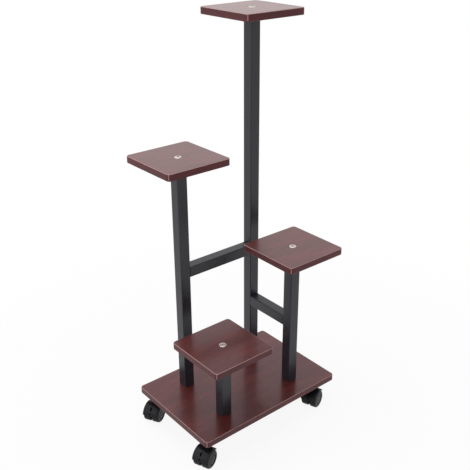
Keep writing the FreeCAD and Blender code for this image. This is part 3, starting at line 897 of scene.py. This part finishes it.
def wheel_mesh(settings, material):
    """Wheel on the web at the origin, facing +Z: capped face, round tread edge, hollow back."""
    outer = settings.hood_width / 2
    edge = settings.tread_edge
    profile = [(radius * MM, outer - depth * MM) for radius, depth in FACE_PROFILE]
    profile += arc((settings.wheel_radius - edge, outer - edge), edge, 90, 0, CORNER_STEPS)
    profile += [(radius * MM, height * MM) for radius, height in BACK_PROFILE]
    return turned_mesh("wheel", profile, WHEEL_ROUNDING, material)


def caster_turn(corner):
    """Placement of a caster's own space: its stem on the origin, its axle behind it on +X."""
    axle = Vector(JOINTS[f"{corner}_wheel_a_spin"]["axis"])
    stem = STEM_PLACES[corner]
    return Matrix.Translation((stem.x, stem.y, 0)) @ Matrix.Rotation(atan2(-axle.x, axle.y), 4, "Z")


# Operators


class PLANTSTAND_OT_boards(bpy.types.Operator):
    """Make the base board and the four shelves"""

    bl_idname = "plant_stand.boards"
    bl_label = "Boards"

    def execute(self, context):
        settings = context.scene.stand_boards
        foil = mahogany_foil(settings)
        film = mahogany_backing(settings)
        for order, name in enumerate(BOARDS):
            mesh = board_mesh(name, settings, order, recessed=name in SHELF_POSTS)
            add_piece(f"{name}_faced", mesh, foil, "stand", "faced_board", name)
            back_board(mesh, film, settings)
        return {"FINISHED"}


class PLANTSTAND_OT_tubes(bpy.types.Operator):
    """Finish the posts, the rails and the plugs in the posts"""

    bl_idname = "plant_stand.tubes"
    bl_label = "Posts and rails"

    def execute(self, context):
        coat = powder_coat(context.scene.stand_steel)
        for name in (*SHELF_POSTS.values(), *RAILS):
            finish_node(name, coat)
        nylon = plug_nylon()
        for name in PLUGS:
            finish_node(name, nylon)
        return {"FINISHED"}


class PLANTSTAND_OT_bolts(bpy.types.Operator):
    """Make the bolts of the shelves and of the base"""

    bl_idname = "plant_stand.bolts"
    bl_label = "Joining bolts"

    def execute(self, context):
        recess = context.scene.stand_boards.recess_depth
        nickel = nickel_plate(context.scene.stand_bolts)
        base_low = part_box("base_board")[0].z
        tops = []
        feet = []
        for shelf, post in SHELF_POSTS.items():
            low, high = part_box(post)
            centre = (low + high) / 2
            tops.append((centre.x, centre.y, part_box(shelf)[1].z - recess))
            feet.append((centre.x, centre.y, base_low))
        for name, points, tilt, seed in (("shelf_bolts", tops, 0.0, 3), ("base_bolts", feet, pi, 5)):
            mesh = fasteners_mesh(name, "bolt", points, nickel, tilt, seed)
            add_piece(f"{name}_domed", mesh, nickel, "stand", "bright_bolt", name)
        return {"FINISHED"}


class PLANTSTAND_OT_caster_screws(bpy.types.Operator):
    """Make the sixteen wood screws of the caster plates"""

    bl_idname = "plant_stand.caster_screws"
    bl_label = "Caster screws"

    def execute(self, context):
        zinc = zinc_plate()
        points = []
        for corner in CORNERS:
            low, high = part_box(f"{corner}_caster_plate")
            for x in (low.x + PLATE_HOLE_MARGIN, high.x - PLATE_HOLE_MARGIN):
                points += [(x, y, low.z) for y in (low.y + PLATE_HOLE_MARGIN, high.y - PLATE_HOLE_MARGIN)]
        mesh = fasteners_mesh("caster_screws", "screw", points, zinc, tilt=pi, seed=11)
        add_piece("caster_screws", mesh, zinc, "stand", "zinc_plated_steel")
        return {"FINISHED"}


class PLANTSTAND_OT_caster_steel(bpy.types.Operator):
    """Finish the mounting plates, stems and axles of the casters"""

    bl_idname = "plant_stand.caster_steel"
    bl_label = "Caster plates, stems and axles"

    def execute(self, context):
        oxide = black_oxide()
        zinc = zinc_plate()
        for corner in CORNERS:
            for piece, material in (("plate", oxide), ("stem", oxide), ("axle", zinc)):
                finish_node(f"{corner}_caster_{piece}", material)
        return {"FINISHED"}


class PLANTSTAND_OT_hoods(bpy.types.Operator):
    """Make the moulded hoods of the casters"""

    bl_idname = "plant_stand.hoods"
    bl_label = "Caster hoods"

    def execute(self, context):
        settings = context.scene.stand_casters
        nylon = hood_nylon(settings)
        pattern = hood_mesh(settings, nylon)
        for corner in CORNERS:
            mesh = pattern.copy()
            mesh.transform(caster_turn(corner))
            name = f"{corner}_caster_hood"
            add_piece(f"{name}_moulded", mesh, nylon, f"{corner}_swivel", "hood_nylon", name)
        return {"FINISHED"}


class PLANTSTAND_OT_wheels(bpy.types.Operator):
    """Make the eight wheels of the casters"""

    bl_idname = "plant_stand.wheels"
    bl_label = "Caster wheels"

    def execute(self, context):
        settings = context.scene.stand_casters
        nylon = wheel_nylon(settings)
        pattern = wheel_mesh(settings, nylon)
        hub = Matrix.Translation((TRAIL, 0, AXLE_HEIGHT))
        for corner in CORNERS:
            for letter, turn in (("a", -90), ("b", 90)):
                mesh = pattern.copy()
                mesh.transform(caster_turn(corner) @ (hub @ Matrix.Rotation(radians(turn), 4, "X")))
                name = f"{corner}_caster_wheel_{letter}"
                add_piece(f"{name}_turned", mesh, nylon, f"{corner}_wheel_{letter}", "wheel_nylon", name)
        return {"FINISHED"}


class PLANTSTAND_OT_stage(bpy.types.Operator):
    """Set up the floor, the light and the camera"""

    bl_idname = "plant_stand.stage"
    bl_label = "Floor, light and camera"

    def execute(self, context):
        settings = context.scene.stand_stage
        self.lay_floor(settings)
        self.hang_lamps(context, settings)
        self.set_camera(context, settings)
        context.scene.view_settings.view_transform = "Standard"
        return {"FINISHED"}

    def seen_directly(self, add):
        """1 for rays from the camera, off mirrors and through clear surfaces, 0 for scattered light."""
        path = add("ShaderNodeLightPath").outputs
        seen = path["Is Camera Ray"]
        for ray in ("Is Glossy Ray", "Is Transmission Ray"):
            seen = add("ShaderNodeMath", {0: seen, 1: path[ray]}, operation="MAXIMUM")
        return seen

    def lay_floor(self, settings):
        # Matt paint: white to the camera and in mirror reflections, where it is lifted to the white of the
        # room and keeps the soft shadow of the stand, and grey to scattered light, so that little comes up
        # from below
        material = bpy.data.materials.new("floor_matt_white")
        add = node_adder(material)
        seen = self.seen_directly(add)
        tone = add("ShaderNodeMix", {0: seen, 6: linear("#989898"), 7: linear("#f3f3f3")}, data_type="RGBA")
        paint = add("ShaderNodeBsdfDiffuse", {"Color": tone})
        white = add("ShaderNodeEmission", {"Color": linear("#ffffff"), "Strength": 1.0})
        place = add("ShaderNodeTexCoord").outputs["Object"]
        distance = add("ShaderNodeVectorMath", {0: place}, operation="LENGTH")
        away = add("ShaderNodeMapRange", {
            "Value": distance, "From Min": FADE_START, "From Max": FADE_END,
            "To Min": WHITE_SHARE, "To Max": 1.0,
        }, interpolation_type="SMOOTHSTEP")
        share = add("ShaderNodeMath", {0: seen, 1: away}, operation="MULTIPLY")
        mixed = add("ShaderNodeMixShader", {0: share, 1: paint, 2: white})
        add("ShaderNodeOutputMaterial", {"Surface": mixed})
        bm = bmesh.new()
        half = settings.floor_width / 2
        bmesh.ops.create_grid(bm, x_segments=FLOOR_SQUARES, y_segments=FLOOR_SQUARES, size=half)
        mesh = new_mesh("floor", bm)
        mesh.materials.append(material)
        floor = new_object("floor", mesh)

    def hang_lamps(self, context, settings):
        # Large soft lamps in metres: side, place, and the spot that each is aimed at
        for name, power, size, place, aim in (
            ("key_lamp", settings.key, 1.4, (-2.2, 0.2, 1.3), (0, 0, 0.35)),
            ("top_lamp", settings.top, 1.8, (-0.2, 0.4, 2.6), (0, 0, 0)),
        ):
            lamp = bpy.data.lights.new(name, "AREA")
            lamp.shape = "SQUARE"
            lamp.size = size
            lamp.energy = power
            holder = new_object(name, lamp)
            holder.location = place
            holder.rotation_mode = "QUATERNION"
            holder.rotation_quaternion = (Vector(aim) - Vector(place)).to_track_quat("-Z", "Y")
        world = bpy.data.worlds.new("studio")
        add = node_adder(world)
        soft = add("ShaderNodeBackground", {"Color": linear("#ffffff"), "Strength": settings.dome})
        white = add("ShaderNodeBackground", {"Color": linear("#ffffff"), "Strength": 1.0})
        mixed = add("ShaderNodeMixShader", {0: self.seen_directly(add), 1: soft, 2: white})
        add("ShaderNodeOutputWorld", {"Surface": mixed})
        context.scene.world = world

    def set_camera(self, context, settings):
        back = Vector((sin(YAW) * cos(PITCH), -cos(YAW) * cos(PITCH), sin(PITCH)))
        level = Vector((cos(YAW), sin(YAW), 0))
        upright = back.cross(level)
        right = cos(ROLL) * level + sin(ROLL) * upright
        up = cos(ROLL) * upright - sin(ROLL) * level
        data = bpy.data.cameras.new("camera")
        data.sensor_width = SENSOR_WIDTH
        data.lens = settings.lens
        data.clip_start = CLIP_START
        camera = new_object("camera", data)
        camera.matrix_world = Matrix.Translation(EYE) @ Matrix((right, up, back)).transposed().to_4x4()
        context.scene.camera = camera


OPERATORS = (
    PLANTSTAND_OT_stage,
    PLANTSTAND_OT_boards,
    PLANTSTAND_OT_tubes,
    PLANTSTAND_OT_bolts,
    PLANTSTAND_OT_caster_steel,
    PLANTSTAND_OT_caster_screws,
    PLANTSTAND_OT_hoods,
    PLANTSTAND_OT_wheels,
)


class PLANTSTAND_PT_panel(bpy.types.Panel):
    """Lists the steps that dress the stand, and their sizes and colours"""

    bl_label = "Rolling plant stand"
    bl_idname = "PLANTSTAND_PT_panel"
    bl_space_type = "VIEW_3D"
    bl_region_type = "UI"
    bl_category = "Plant stand"

    def draw(self, context):
        for operator in OPERATORS:
            self.layout.operator(operator.bl_idname)
        for name, group in SETTINGS.items():
            box = self.layout.box()
            for setting in group.__annotations__:
                box.prop(getattr(context.scene, name), setting)


CLASSES = (*SETTINGS.values(), *OPERATORS, PLANTSTAND_PT_panel)


def register():
    for item in CLASSES:
        bpy.utils.register_class(item)
    for name, group in SETTINGS.items():
        setattr(bpy.types.Scene, name, PointerProperty(type=group))


def unregister():
    for name in SETTINGS:
        delattr(bpy.types.Scene, name)
    for item in reversed(CLASSES):
        bpy.utils.unregister_class(item)


def main():
    """Makes every piece in order."""
    register()
    bpy.ops.plant_stand.stage()
    bpy.ops.plant_stand.boards()
    bpy.ops.plant_stand.tubes()
    bpy.ops.plant_stand.bolts()
    bpy.ops.plant_stand.caster_steel()
    bpy.ops.plant_stand.caster_screws()
    bpy.ops.plant_stand.hoods()
    bpy.ops.plant_stand.wheels()


if __name__ == "__main__":
    main()
